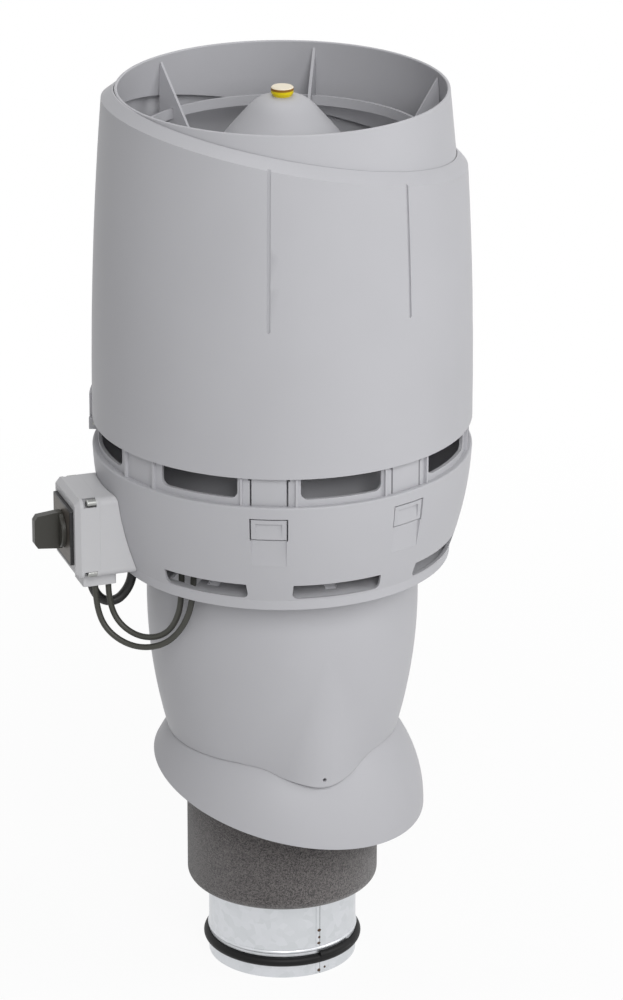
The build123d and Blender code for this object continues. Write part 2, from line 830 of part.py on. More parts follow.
def make_motor_dome():
    low = hub_top_z
    tip = rim_z - dome_tip_down
    rise = tip - low
    reach = dome_flange_r
    outer = Spline((reach, low + dome_edge_t), (reach * 0.68, low + rise * 0.46),
                   (reach * 0.42, low + rise * 0.8), (plug_neck_r, tip),
                   tangents=((-1, 0.6), (-1, 0)))
    inner_r = reach - dome_wall * 2
    inner_tip = tip - dome_wall
    inner = Spline((inner_r, low), (reach * 0.68 - dome_wall, low + rise * 0.46 - dome_wall),
                   (reach * 0.42 - dome_wall * 0.8, low + rise * 0.8 - dome_wall), (plug_neck_r, inner_tip),
                   tangents=((-1, 0.6), (-1, 0)))
    return turned(profile(
        outer,
        Line((plug_neck_r, tip), (plug_neck_r, inner_tip)),
        inner,
        Polyline((inner_r, low), (reach, low), (reach, low + dome_edge_t)),
    ))


def make_dome_plug():
    top = rim_z
    head_low = top - plug_h
    seat = rim_z - dome_tip_down
    stem = plug_neck_r - pin_gap
    plug = turned(polygon((0, top), (plug_r, top), (plug_r, head_low), (plug_neck_r + plug_lip, seat),
                          (stem, seat), (stem, seat - 2 * dome_wall), (0, seat - 2 * dome_wall)))
    rim = plug.edges().filter_by(GeomType.CIRCLE).group_by(Axis.Z)[-1]
    return chamfer(rim, plug_bevel)


def make_motor_plate():
    plate = turned(block(plate_hole_r, hub_r, plate_low_z, hub_low_z))
    rim_hole = Pos(hub_r - hub_wall / 2, 0, hub_low_z) * Cylinder(screw_r + screw_gap, 4 * plate_t)
    stator_hole = Pos(stator_screw_r, 0, hub_low_z) * Cylinder(screw_r + screw_gap, 4 * plate_t)
    return plate - around(rim_hole, plate_screw_count, 180 / plate_screw_count) - around(
        stator_hole, stator_screw_count, 45)


def make_plate_screws():
    one = Pos(hub_r - hub_wall / 2, 0, plate_low_z) * Rot(180, 0, 0) * screw()
    return around(one, plate_screw_count, 180 / plate_screw_count)


def make_stator_screws():
    one = Pos(stator_screw_r, 0, hub_low_z) * screw(plate_t + stator_flange_t / 2)
    return around(one, stator_screw_count, 45)


core_top_z = stator_low_z - core_drop
core_low_z = core_top_z - stator_core_h
tube_low_z = core_low_z - tube_over


def make_motor_stator():
    bore = bearing_r + pin_gap
    stator = turned(polygon(
        (bore, plate_low_z), (flange_r, plate_low_z), (flange_r, stator_low_z),
        (bearing_tube_r, stator_low_z), (bearing_tube_r, core_top_z), (stator_core_r, core_top_z),
        (stator_core_r, core_low_z), (bearing_tube_r, core_low_z), (bearing_tube_r, tube_low_z),
        (bore, tube_low_z)))
    hole = Pos(stator_screw_r, 0, plate_low_z) * Cylinder(screw_r + screw_gap, stator_flange_t + 1)
    return stator - around(hole, stator_screw_count, 45)


def make_motor_bearings():
    ring = turned(block(shaft_r + pin_gap, bearing_r, 0, bearing_h))
    return [Pos(0, 0, tube_low_z) * ring, Pos(0, 0, stator_low_z - bearing_h) * ring]


def make_rotor_can():
    inner = can_r - can_wall
    can = turned(polygon(
        (shaft_r + pin_gap, can_low_z), (can_r, can_low_z), (can_r, can_top_z), (inner, can_top_z),
        (inner, can_low_z + can_wall), (shaft_r + pin_gap, can_low_z + can_wall)))
    hole = Pos(rotor_screw_r, 0, can_low_z) * Cylinder(screw_r + screw_gap, 4 * can_wall)
    magnet_r = stator_core_r + air_gap
    magnets = turned(block(magnet_r, inner + can_wall / 2, core_low_z, core_top_z))
    return can + magnets - around(hole, rotor_screw_count)


def make_rotor_shaft():
    top = plate_low_z
    shaft = Pos(0, 0, (can_low_z + top) / 2) * Cylinder(shaft_r, top - can_low_z)
    return chamfer(shaft.edges().group_by(Axis.Z)[-1], shaft_bevel)


def make_impeller_screws():
    one = Pos(rotor_screw_r, 0, disc_top_z - disc_t) * Rot(180, 0, 0) * screw(disc_t + can_wall - seat_gap)
    return around(one, rotor_screw_count)


def shroud_line(drop):
    low = (eye_r, eye_z + drop)
    high = (impeller_r, eye_z + shroud_rise + drop)
    middle = (eye_r + (impeller_r - eye_r) * 0.38, eye_z + shroud_rise * 0.72 + drop)
    return ThreePointArc(low, middle, high), low, high


def make_impeller_disc():
    disc = turned(block(shaft_r + nozzle_gap, impeller_r, disc_top_z - disc_t, disc_top_z))
    hole = Pos(rotor_screw_r, 0, disc_top_z) * Cylinder(screw_r + screw_gap, 4 * disc_t)
    return disc - around(hole, rotor_screw_count)


def make_impeller():
    lower, low, high = shroud_line(0)
    upper, low_up, high_up = shroud_line(shroud_t)
    shroud = turned(profile(lower, Line(high, high_up), upper, Line(low_up, low)))
    inlet = (blade_in_r, 0)
    turn = radians(blade_sweep)
    outlet = ((impeller_r - blade_t) * cos(turn), (impeller_r - blade_t) * sin(turn))
    middle = ((inlet[0] + outlet[0]) / 2 + blade_bow, (inlet[1] + outlet[1]) / 2 + blade_bow * 0.6)
    strip = Plane.XY.offset(eye_z) * trace(ThreePointArc(inlet, middle, outlet), blade_t)
    blade = extrude(strip, disc_top_z - disc_t - eye_z)
    middle_line, middle_low, middle_high = shroud_line(shroud_t / 2)
    below = turned(profile(
        middle_line,
        Polyline(middle_high, (2 * impeller_r, middle_high[1]), (2 * impeller_r, eye_z - shroud_t),
                 (eye_r, eye_z - shroud_t), middle_low),
    ))
    return shroud + around(blade - below, blade_count)


def make_deck_plate():
    plate = turned(block(duct_r + seat_gap, socket_r, deck_top_z - deck_t, deck_top_z))
    hole = Pos(nozzle_screw_r, 0, deck_top_z) * Cylinder(screw_r + screw_gap, 4 * deck_t)
    return plate - around(hole, nozzle_screw_count)


def make_inlet_nozzle():
    base = deck_top_z
    foot = duct_r - duct_wall
    throat = eye_r - nozzle_wall - nozzle_side_gap
    top = nozzle_top_z
    neck_low = base + (top - base) * 0.55
    lip = nozzle_flange_t + nozzle_wall
    nozzle = turned(profile(
        Polyline((foot, base), (nozzle_flange_r, base), (nozzle_flange_r, base + nozzle_flange_t),
                 (foot + 2 * lip, base + nozzle_flange_t)),
        Spline((foot + 2 * lip, base + nozzle_flange_t), (foot + nozzle_wall, base + 2.5 * lip),
               (throat + nozzle_wall, neck_low + lip), tangents=((-1, 0.1), (0, 1))),
        Polyline((throat + nozzle_wall, neck_low + lip), (throat + nozzle_wall, top), (throat, top),
                 (throat, neck_low)),
        Spline((throat, neck_low), (foot, base), tangents=((0, -1), (0.25, -1))),
    ))
    hole = Pos(nozzle_screw_r, 0, base) * Cylinder(screw_r + screw_gap, 4 * nozzle_flange_t)
    return nozzle - around(hole, nozzle_screw_count)


def make_nozzle_screws():
    one = Pos(nozzle_screw_r, 0, deck_top_z + nozzle_flange_t) * screw(nozzle_flange_t + deck_t)
    return around(one, nozzle_screw_count)


def make_stand_screws():
    head = stand_top_r
    screws = []
    for i in range(stand_screw_count):
        at = 45 + 360 / stand_screw_count * i
        screws.append(facing(at, head, stand_top_z - stand_screw_down) * screw(stand_wall + socket_wall))
    return screws


def stand_screw_holes():
    holes = []
    for i in range(stand_screw_count):
        at = 45 + 360 / stand_screw_count * i
        hole = Cylinder(screw_r + screw_gap, 8 * stand_wall)
        holes.append(facing(at, stand_top_r, stand_top_z - stand_screw_down) * hole)
    return holes


def box_plate(width, height, radius, r_in, r_out):
    return extrude(facing(box_at, r_in, box_mid_z) * RectangleRounded(width, height, radius), r_out - r_in)


def box_corners(shape):
    places = []
    for y in (-1, 1):
        for z in (-1, 1):
            x = y * (box_w / 2 - box_screw_in)
            up = z * (box_h / 2 - box_screw_in)
            places.append(facing(box_at, box_seam_r, box_mid_z) * Pos(x, up) * shape)
    return places


def make_switch_box_base():
    deep = bowl_low_r - 2 * box_round
    body = box_plate(box_w, box_h, box_round, deep, box_seam_r) - bowl_solid(seat_gap)
    room_w = box_w - 4 * box_wall
    room_h = box_h - 4 * box_wall
    room = box_plate(room_w, room_h, box_round / 2, bowl_top_r + box_wall, box_seam_r + box_wall)
    hole = Cylinder(screw_r + screw_gap, 2 * screw_grip + 1)
    return body - room - box_corners(hole)


def make_switch_box_cover():
    shell = box_plate(box_w, box_h, box_round, box_seam_r + pin_gap, box_face_r)
    front = shell.faces().sort_by(Axis.X)[0]
    shell = chamfer(front.edges(), cover_bevel)
    inner_w = box_w - 4 * box_notch_r
    inner_h = box_h - 4 * box_wall
    room = box_plate(inner_w, inner_h, box_round / 2, box_seam_r - box_wall, box_face_r - box_wall)
    notch = Pos(0, 0, box_wall + box_notch_len / 2) * Cylinder(box_notch_r, box_notch_len)
    through = Cylinder(screw_r + screw_gap, 4 * box_wall)
    bore = facing(box_at, box_face_r, box_mid_z) * Cylinder(spindle_r + 4 * pin_gap, 4 * box_wall)
    return shell - room - box_corners(notch) - box_corners(through) - bore


def make_cover_screws():
    head = Pos(0, 0, box_wall) * screw(screw_grip + box_wall, box_screw_r, box_notch_len - box_screw_down)
    return box_corners(head)


def make_switch_bezel():
    bezel = box_plate(bezel_w, bezel_w, bezel_frame, box_face_r, box_face_r + bezel_t)
    room = bezel_w - 2 * bezel_frame
    bezel -= box_plate(room, room, face_round, box_face_r + bezel_t - face_t, box_face_r + 2 * bezel_t)
    return bezel - facing(box_at, box_face_r, box_mid_z) * Cylinder(spindle_r + 4 * pin_gap, 4 * bezel_t)


def make_switch_face():
    room = bezel_w - 2 * bezel_frame - 2 * pin_gap
    face = box_plate(room, room, face_round, box_face_r + bezel_t - face_t, box_face_r + bezel_t)
    return face - facing(box_at, box_face_r, box_mid_z) * Cylinder(spindle_r + 4 * pin_gap, 4 * bezel_t)


def make_switch_body():
    front = box_face_r - box_wall
    body = box_plate(switch_body_w, switch_body_w, corner_round, front - switch_body_d, front)
    return body - facing(box_at, front, box_mid_z) * Cylinder(spindle_r + pin_gap, 4 * switch_body_d)


def make_switch_spindle():
    low = box_face_r - box_wall - switch_body_d
    high = box_face_r + bezel_t + seat_gap
    place = facing(box_at, low, box_mid_z)
    return place * Cylinder(spindle_r, high - low, align=(Align.CENTER, Align.CENTER, Align.MIN))


def make_switch_knob():
    seat = box_face_r + bezel_t + seat_gap
    place = facing(box_at, seat, box_mid_z)
    disc = Cylinder(knob_base_r, knob_base_h, align=(Align.CENTER, Align.CENTER, Align.MIN))
    disc = chamfer(disc.edges().group_by(Axis.Z)[-1], knob_rim_bevel)
    tip = knob_base_h + knob_blade_len
    half = knob_blade_h / 2
    tip_half = knob_tip_h / 2
    heel = knob_base_h + knob_heel
    side = polygon((knob_heel / 2, -half), (heel, -half), (tip - knob_bevel, -tip_half - knob_bevel / 2),
                   (tip, -tip_half + knob_bevel), (tip, tip_half - knob_bevel),
                   (tip - knob_bevel, tip_half + knob_bevel / 2), (heel, half), (knob_heel / 2, half))
    upright = Plane(origin=(0, 0, 0), x_dir=(0, 0, 1), z_dir=(1, 0, 0))
    blade = extrude(upright * side, knob_blade_w / 2, both=True)
    return place * (disc + blade)


def make_gland_block():
    low = box_low_z - gland_h
    body = Box(gland_len, gland_w, gland_h - pin_gap, align=(Align.CENTER, Align.CENTER, Align.MIN))
    body = fillet(body.edges().filter_by(Axis.Z), corner_round)
    return Pos(-gland_r, gland_side, low) * body


def make_cable_clamp():
    body = Box(clamp_d, clamp_w, clamp_h, align=(Align.CENTER, Align.CENTER, Align.MIN))
    body = fillet(body.edges().filter_by(Axis.Z), corner_round)
    inner = socket_r + seat_gap + clamp_d / 2
    return Rot(0, 0, clamp_at) * Pos(inner, 0, clamp_z) * body


def make_cable_grommet():
    x, y, z = supply_route[-1]
    return Pos(x, y, z) * Cylinder(grommet_r, slot_h, align=(Align.CENTER, Align.CENTER, Align.MIN))


clamp_z = bowl_low_z + clamp_up
gland_z = box_low_z - gland_h

lead_a_route = [
    (-165.0, -15.0, gland_z),
    (-165.0, -15.0, 342.0),
    (-158.0, -21.5, 320.0),
    (-139.5, -37.5, 309.0),
    (-118.5, -55.0, 315.5),
    (-104.5, -66.8, 337.0),
    (-98.7, -71.7, 365.5),
    (-98.7, -71.7, clamp_z),
]
lead_b_route = [
    (-154.0, -15.0, gland_z),
    (-154.0, -15.0, 344.5),
    (-147.5, -21.3, 325.0),
    (-132.5, -35.6, 316.0),
    (-116.5, -50.8, 322.5),
    (-107.5, -59.4, 342.5),
    (-105.7, -61.0, 368.5),
    (-105.7, -61.0, clamp_z),
]
supply_route = [
    (-160.5, 15.0, box_low_z),
    (-160.5, 15.0, 357.0),
    (-158.5, 15.0, 342.5),
    (-150.5, 15.0, 331.5),
    (-138.0, 15.0, 330.0),
    (-128.5, 15.0, 339.5),
    (-124.0, 15.0, 352.5),
    (-124.0, 15.0, 365.0),
]


def make_cable(name, route, diameter):
    points = [Vector(*p) for p in route]
    radii = []
    for before, here, after in zip(points, points[1:], points[2:]):
        turn = (here - before).get_angle(after - here)
        shorter = min((here - before).length, (after - here).length)
        radii.append(0.45 * shorter / tan(radians(turn / 2)))
    path = FilletPolyline(*points, radius=radii)
    ends = Plane(origin=points[0], z_dir=points[1] - points[0])
    tube = sweep(ends * Circle(diameter / 2), path)
    section = pi * diameter ** 2 / 4
    print(name, "length", round(path.length, 1), "radii", [round(r, 1) for r in radii],
          "volume share", round(tube.volume / (section * path.length), 4))
    return tube


def write(name, shape):
    solids = shape if isinstance(shape, list) else [shape]
    loose = [s for part in solids for s in part.solids()]
    export_step(Compound(children=loose) if len(loose) > 1 else loose[0], f"parts/{name}.step")


os.makedirs("parts", exist_ok=True)
write("inner_duct", make_inner_duct())
write("duct_seal", make_duct_seal())
write("insulation_sleeve", make_insulation_sleeve())
write("roof_skirt", make_roof_skirt())
write("stand_cover", make_stand_cover() - stand_screw_holes())
write("base_ring", make_base_ring() - stand_screw_holes())
write("stand_screws", make_stand_screws())
write("deck_plate", make_deck_plate())
write("inlet_nozzle", make_inlet_nozzle())
write("nozzle_screws", make_nozzle_screws())
write("hinge_pin", make_hinge_pin())
write("latch_pins", make_latch_pins())
for number, angle in enumerate(latch_at, 1):
    write(f"latch_lever_{number}", make_latch_lever(angle))
write("hood_shell", make_hood_shell())
write("outlet_collar", make_outlet_collar())
write("outlet_vanes", make_outlet_vanes())
write("vane_ring", make_vane_ring())
write("inner_casing", make_inner_casing())
write("motor_dome", make_motor_dome())
write("dome_plug", make_dome_plug())
write("motor_plate", make_motor_plate())
write("plate_screws", make_plate_screws())
write("motor_stator", make_motor_stator())
write("stator_screws", make_stator_screws())
write("motor_bearings", make_motor_bearings())
write("rotor_can", make_rotor_can())
write("rotor_shaft", make_rotor_shaft())
write("impeller", make_impeller())
write("impeller_disc", make_impeller_disc())
write("impeller_screws", make_impeller_screws())
write("switch_box_base", make_switch_box_base())
write("switch_box_cover", make_switch_box_cover())
write("cover_screws", make_cover_screws())
write("switch_bezel", make_switch_bezel())
write("switch_face", make_switch_face())
write("switch_body", make_switch_body())
write("switch_spindle", make_switch_spindle())
write("switch_knob", make_switch_knob())
write("gland_block", make_gland_block())
write("cable_clamp", make_cable_clamp())
write("cable_grommet", make_cable_grommet())
write("lead_a", make_cable("lead_a", lead_a_route, lead_d))
write("lead_b", make_cable("lead_b", lead_b_route, lead_d))
write("supply_cable", make_cable("supply_cable", supply_route, supply_d))
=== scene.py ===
import json
from math import cos, pi, radians, sin

import bpy
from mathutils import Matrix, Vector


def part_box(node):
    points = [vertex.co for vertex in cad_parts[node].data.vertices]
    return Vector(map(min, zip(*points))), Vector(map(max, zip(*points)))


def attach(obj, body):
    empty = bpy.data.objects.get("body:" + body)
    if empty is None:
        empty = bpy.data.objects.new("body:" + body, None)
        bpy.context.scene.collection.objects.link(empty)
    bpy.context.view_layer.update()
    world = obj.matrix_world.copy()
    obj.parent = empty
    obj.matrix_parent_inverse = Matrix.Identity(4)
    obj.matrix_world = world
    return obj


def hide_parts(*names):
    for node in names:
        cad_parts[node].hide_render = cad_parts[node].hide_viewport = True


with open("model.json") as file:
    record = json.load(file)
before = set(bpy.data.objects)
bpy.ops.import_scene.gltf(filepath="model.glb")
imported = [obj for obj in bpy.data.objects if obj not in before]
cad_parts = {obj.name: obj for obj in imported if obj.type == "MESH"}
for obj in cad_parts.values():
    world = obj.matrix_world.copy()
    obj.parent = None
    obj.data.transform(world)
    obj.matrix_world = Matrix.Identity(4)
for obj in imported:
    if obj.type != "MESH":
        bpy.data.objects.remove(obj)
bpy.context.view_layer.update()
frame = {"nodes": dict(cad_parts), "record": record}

nodes = frame["nodes"]
print("stage: frame loaded with", len(nodes), "nodes")


def linear(code):
    # sRGB hex to the linear colour that a shader socket takes
    values = [int(code[i:i + 2], 16) / 255 for i in (1, 3, 5)]
    return tuple(v / 12.92 if v <= 0.04045 else ((v + 0.055) / 1.055) ** 2.4 for v in values) + (1,)


def addNode(tree, kind, links=None, **values):
    # New node with constants set by socket name and inputs linked from other nodes' sockets
    node = tree.nodes.new(kind)
    for key, value in values.items():
        if hasattr(node, key):
            setattr(node, key, value)
        else:
            node.inputs[key.replace("_", " ")].default_value = value
    for key, source in (links or {}).items():
        tree.links.new(source, node.inputs[key])
    return node


def addObject(name, data):
    piece = bpy.data.objects.new(name, data)
    bpy.context.collection.objects.link(piece)
    return piece


def blankMaterial(name):
    material = bpy.data.materials.new(name)
    material.use_nodes = True
    material.node_tree.nodes.clear()
    return material


def newMaterial(name, **shader):
    material = blankMaterial(name)
    tree = material.node_tree
    body = addNode(tree, "ShaderNodeBsdfPrincipled", **shader)
    addNode(tree, "ShaderNodeOutputMaterial", {"Surface": body.outputs["BSDF"]})
    place = addNode(tree, "ShaderNodeTexCoord").outputs["Object"]
    return material, tree, body, place


def mixColours(tree, factor, first, second):
    # A mix of colours has its factor at input 0, its colours at 6 and 7, and its result at output 2
    mix = addNode(tree, "ShaderNodeMix", data_type="RGBA")
    mix.inputs[6].default_value = linear(first)
    mix.inputs[7].default_value = linear(second)
    tree.links.new(factor, mix.inputs[0])
    return mix.outputs[2]


def addBump(tree, body, height, distance, strength):
    bump = addNode(tree, "ShaderNodeBump", {"Height": height}, Distance=distance, Strength=strength)
    tree.links.new(bump.outputs["Normal"], body.inputs["Normal"])


def mouldedPlastic(name, light, dark, roughness):
    # Satin moulded skin: an even tone, a faint cloudiness about a hand wide
    # and a spark-eroded grain of under a millimetre
    cloudsPerMetre = 9.0
    grainsPerMetre = 1600.0
    material, tree, body, place = newMaterial(name, Roughness=roughness, Specular_IOR_Level=0.18)
    cloud = addNode(tree, "ShaderNodeTexNoise", {"Vector": place}, Scale=cloudsPerMetre, Detail=2.0)
    tree.links.new(mixColours(tree, cloud.outputs[0], dark, light), body.inputs["Base Color"])
    grain = addNode(tree, "ShaderNodeTexNoise", {"Vector": place}, Scale=grainsPerMetre, Detail=1.0)
    addBump(tree, body, grain.outputs[0], distance=0.00002, strength=0.35)
    return material


def plainFinish(name, code, roughness, metallic=0.0, specular=0.5):
    # One even tone that only its gloss and the light give form to
    return newMaterial(name, Base_Color=linear(code), Roughness=roughness, Metallic=metallic,
                       Specular_IOR_Level=specular)[0]


def galvanisedSteel(name):
    # Bright zinc coat: flat crystals of about six millimetres,
    # each a little lighter or duller than the next
    crystalsPerMetre = 160.0
    material, tree, body, place = newMaterial(name, Metallic=0.85, Roughness=0.36)
    crystal = addNode(tree, "ShaderNodeTexVoronoi", {"Vector": place}, Scale=crystalsPerMetre)
    tone = addNode(tree, "ShaderNodeSeparateColor", {"Color": crystal.outputs["Color"]}).outputs[0]
    tree.links.new(mixColours(tree, tone, "#cfd2d5", "#d8dade"), body.inputs["Base Color"])
    return material


def beadFoam(name):
    # Open foam sleeve: dark grey with light and dark specks of about a millimetre,
    # and a dusty bloom at its edges
    specksPerMetre = 1200.0
    material, tree, body, place = newMaterial(name, Roughness=0.9, Sheen_Weight=0.42,
                                              Sheen_Roughness=0.6)
    speck = addNode(tree, "ShaderNodeTexVoronoi", {"Vector": place}, Scale=specksPerMetre)
    tone = addNode(tree, "ShaderNodeSeparateColor", {"Color": speck.outputs["Color"]}).outputs[0]
    tree.links.new(mixColours(tree, tone, "#1f1b1c", "#6f6a69"), body.inputs["Base Color"])
    addBump(tree, body, speck.outputs["Distance"], distance=0.0006, strength=0.6)
    return material


def brushedPlate(name):
    # Dark plate brushed along its width, with a warm tint in the streaks:
    # under a millimetre high and some 25 millimetres long
    streaksPerMetre = (1.0, 40.0, 1400.0)
    material, tree, body, place = newMaterial(name, Metallic=0.55, Roughness=0.42)
    stretch = addNode(tree, "ShaderNodeMapping", {"Vector": place}, Scale=streaksPerMetre)
    streak = addNode(tree, "ShaderNodeTexNoise", {"Vector": stretch.outputs["Vector"]},
                     Scale=1.0, Detail=2.0)
    tree.links.new(mixColours(tree, streak.outputs[0], "#38332e", "#6e675f"),
                   body.inputs["Base Color"])
    return material


def bandedPlug(name, low, high):
    # Plug with a cream top, a thin golden brown rim and bright yellow sides, each from a share of
    # its height:
    # the yellow and the brown are its own colour, the cream top is a painted highlight on its top
    # face
    stops = ((0.0, "#e9d20c"), (0.76, "#9a6c24"), (0.93, "#efe4cd"))
    material, tree, body, place = newMaterial(name, Roughness=0.4)
    z = addNode(tree, "ShaderNodeSeparateXYZ", {"Vector": place}).outputs["Z"]
    share = addNode(tree, "ShaderNodeMapRange", {"Value": z}, From_Min=low, From_Max=high)
    ramp = addNode(tree, "ShaderNodeValToRGB", {"Fac": share.outputs["Result"]})
    ramp.color_ramp.interpolation = "CONSTANT"
    while len(ramp.color_ramp.elements) < len(stops):
        ramp.color_ramp.elements.new(0.5)
    for element, (at, code) in zip(ramp.color_ramp.elements, stops):
        element.position = at
        element.color = linear(code)
    tree.links.new(ramp.outputs["Color"], body.inputs["Base Color"])
    return material


greyPlastic = mouldedPlastic("satin grey moulded plastic", "#bcbcc0", "#b4b4b8", roughness=0.42)
boxPlastic = mouldedPlastic("light grey moulded plastic", "#c9c9cb", "#c2c2c5", roughness=0.4)
blackPlastic = plainFinish("satin black plastic", "#1b1b1d", roughness=0.42)
knobPlastic = plainFinish("dark grey knob plastic", "#33322d", roughness=0.42)
sealRubber = plainFinish("black seal rubber", "#0c0c0d", roughness=0.5, specular=0.25)
zincSteel = plainFinish("zinc plated steel", "#a3a4a2", roughness=0.42, metallic=1.0)
castAluminium = plainFinish("cast aluminium", "#b4b6b8", roughness=0.5, metallic=1.0)
impellerPlastic = plainFinish("matt dark impeller plastic", "#37383b", roughness=0.6)
leadSheath = plainFinish("dark grey lead sheath", "#3a3a34", roughness=0.5)
supplySheath = plainFinish("black supply sheath", "#1a1a1a", roughness=0.5)
# Near black for the screws' cross recesses: painted shade inside the recesses
paintedRecessShade = plainFinish("painted shade in screw recess", "#2a2a2a", roughness=0.7)
scorch = plainFinish("brown weld scorch", "#4a3626", roughness=0.7)
# Dark grey for the thin strip beside the duct seam: painted shadow of the lapped edge
paintedSeamShadow = plainFinish("painted seam shadow", "#3c3d40", roughness=0.7)
zincSheet = galvanisedSteel("galvanised steel sheet")
foam = beadFoam("grey bead foam")
plate = brushedPlate("brushed dark face plate")
plugLow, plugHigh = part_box("dome_plug")
# Plug colours banded by height, its cream top a painted highlight
plug = bandedPlug("yellow plug plastic with painted highlight top", plugLow[2], plugHigh[2])

finishes = {
    "grey_plastic": greyPlastic,
    "box_plastic": boxPlastic,
    "galvanised_steel": zincSheet,
    "zinc_steel": zincSteel,
    "cast_aluminium": castAluminium,
    "seal_rubber": sealRubber,
    "foam": foam,
    "black_plastic": blackPlastic,
    "knob_plastic": knobPlastic,
    "face_plate": plate,
    "impeller_plastic": impellerPlastic,
    "cable_sheath": leadSheath,
    "supply_sheath": supplySheath,
    "plug_plastic": plug,
}
slotOf = {part["node"]: part["material_slot"] for part in frame["record"]["subparts"]}
for name, piece in nodes.items():
    for place in piece.material_slots:
        place.material = finishes[slotOf[name]]
print("stage: finishes assigned")


def addCord(spec):
    # Cable along its route, a smooth curve from one face to another
    curve = bpy.data.curves.new(spec["name"], "CURVE")
    curve.dimensions = "3D"
    curve.bevel_depth = spec["diameter"] / 2
    curve.bevel_resolution = 4
    curve.resolution_u = 12
    line = curve.splines.new("NURBS")
    line.points.add(len(spec["route"]) - 1)
    for point, (x, y, z) in zip(line.points, spec["route"]):
        point.co = (x / 1000, y / 1000, z / 1000, 1)
    line.order_u = 3
    line.use_endpoint_u = True
    piece = addObject(spec["name"], curve)
    curve.materials.append(spec["finish"])
    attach(piece, "base")
    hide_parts(spec["node"])


# Routes are in millimetres, from the switch box to the base ring
leadA = {
    "name": "motorLeadA", "node": "lead_a", "slot": "cable_sheath", "finish": leadSheath,
    "diameter": 0.005, "length": 0.1825,
    "route": ((-165.0, -15.0, 361.5), (-165.0, -15.0, 342.0), (-158.0, -21.5, 320.0),
              (-139.5, -37.5, 309.0), (-118.5, -55.0, 315.5), (-104.5, -66.8, 337.0),
              (-98.7, -71.7, 365.5), (-98.7, -71.7, 396.0)),
}
leadB = {
    "name": "motorLeadB", "node": "lead_b", "slot": "cable_sheath", "finish": leadSheath,
    "diameter": 0.005, "length": 0.1575,
    "route": ((-154.0, -15.0, 361.5), (-154.0, -15.0, 344.5), (-147.5, -21.3, 325.0),
              (-132.5, -35.6, 316.0), (-116.5, -50.8, 322.5), (-107.5, -59.4, 342.5),
              (-105.7, -61.0, 368.5), (-105.7, -61.0, 396.0)),
}
supply = {
    "name": "supplyCable", "node": "supply_cable", "slot": "supply_sheath", "finish": supplySheath,
    "diameter": 0.008, "length": 0.0932,
    "route": ((-160.5, 15.0, 372.0), (-160.5, 15.0, 357.0), (-158.5, 15.0, 342.5),
              (-150.5, 15.0, 331.5), (-138.0, 15.0, 330.0), (-128.5, 15.0, 339.5),
              (-124.0, 15.0, 352.5), (-124.0, 15.0, 365.0)),
}
for spec in (leadA, leadB, supply):
    addCord(spec)
print("stage: cords laid")


def repeatShape(name, places, build, finish, **sizes):
    # Copies of one small shape at places given as (position, turn, share of its size),
    # through Geometry Nodes
    mesh = bpy.data.meshes.new(name)
    mesh.from_pydata([at for at, turn, share in places], [], [])
    turns = mesh.attributes.new("turn", "FLOAT_VECTOR", "POINT")
    shares = mesh.attributes.new("share", "FLOAT_VECTOR", "POINT")
    for i, (at, turn, share) in enumerate(places):
        turns.data[i].vector = turn
        shares.data[i].vector = share
    piece = addObject(name, mesh)
    tree = bpy.data.node_groups.new(name, "GeometryNodeTree")
    newSocket = tree.interface.new_socket
    newSocket("Geometry", in_out="INPUT", socket_type="NodeSocketGeometry")
    ids = {}
    for key in sizes:
        ids[key] = newSocket(key, in_out="INPUT", socket_type="NodeSocketFloat").identifier
    ids["finish"] = newSocket("finish", in_out="INPUT", socket_type="NodeSocketMaterial").identifier
    newSocket("Geometry", in_out="OUTPUT", socket_type="NodeSocketGeometry")
    source = addNode(tree, "NodeGroupInput").outputs
    turn = addNode(tree, "GeometryNodeInputNamedAttribute", data_type="FLOAT_VECTOR", Name="turn")
    share = addNode(tree, "GeometryNodeInputNamedAttribute", data_type="FLOAT_VECTOR", Name="share")
    shape = build(tree, source)
    spread = addNode(tree, "GeometryNodeInstanceOnPoints",
                     {"Points": source["Geometry"], "Instance": shape,
                      "Rotation": turn.outputs[0], "Scale": share.outputs[0]})
    real = addNode(tree, "GeometryNodeRealizeInstances", {"Geometry": spread.outputs[0]})
    skin = addNode(tree, "GeometryNodeSetMaterial",
                   {"Geometry": real.outputs[0], "Material": source["finish"]})
    addNode(tree, "NodeGroupOutput", {"Geometry": skin.outputs[0]})
    modifier = piece.modifiers.new(name, "NODES")
    modifier.node_group = tree
    for key, value in sizes.items():
        modifier[ids[key]] = value
    modifier[ids["finish"]] = finish
    bpy.context.view_layer.update()
    ready = piece.evaluated_get(bpy.context.evaluated_depsgraph_get())
    made = bpy.data.meshes.new_from_object(ready)
    piece.modifiers.remove(modifier)
    piece.data = made
    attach(piece, "base")
    return piece


def weldDisc(tree, source):
    return addNode(tree, "GeometryNodeMeshCylinder",
                   {"Radius": source["radius"], "Depth": source["depth"]},
                   Vertices=14).outputs["Mesh"]


def crossRecess(tree, source):
    across = addNode(tree, "ShaderNodeCombineXYZ",
                     {"X": source["length"], "Y": source["width"], "Z": source["depth"]})
    upright = addNode(tree, "ShaderNodeCombineXYZ",
                      {"X": source["width"], "Y": source["length"], "Z": source["depth"]})
    first = addNode(tree, "GeometryNodeMeshCube", {"Size": across.outputs[0]})
    second = addNode(tree, "GeometryNodeMeshCube", {"Size": upright.outputs[0]})
    join = addNode(tree, "GeometryNodeJoinGeometry", {"Geometry": first.outputs["Mesh"]})
    tree.links.new(second.outputs["Mesh"], join.inputs[0])
    return join.outputs[0]


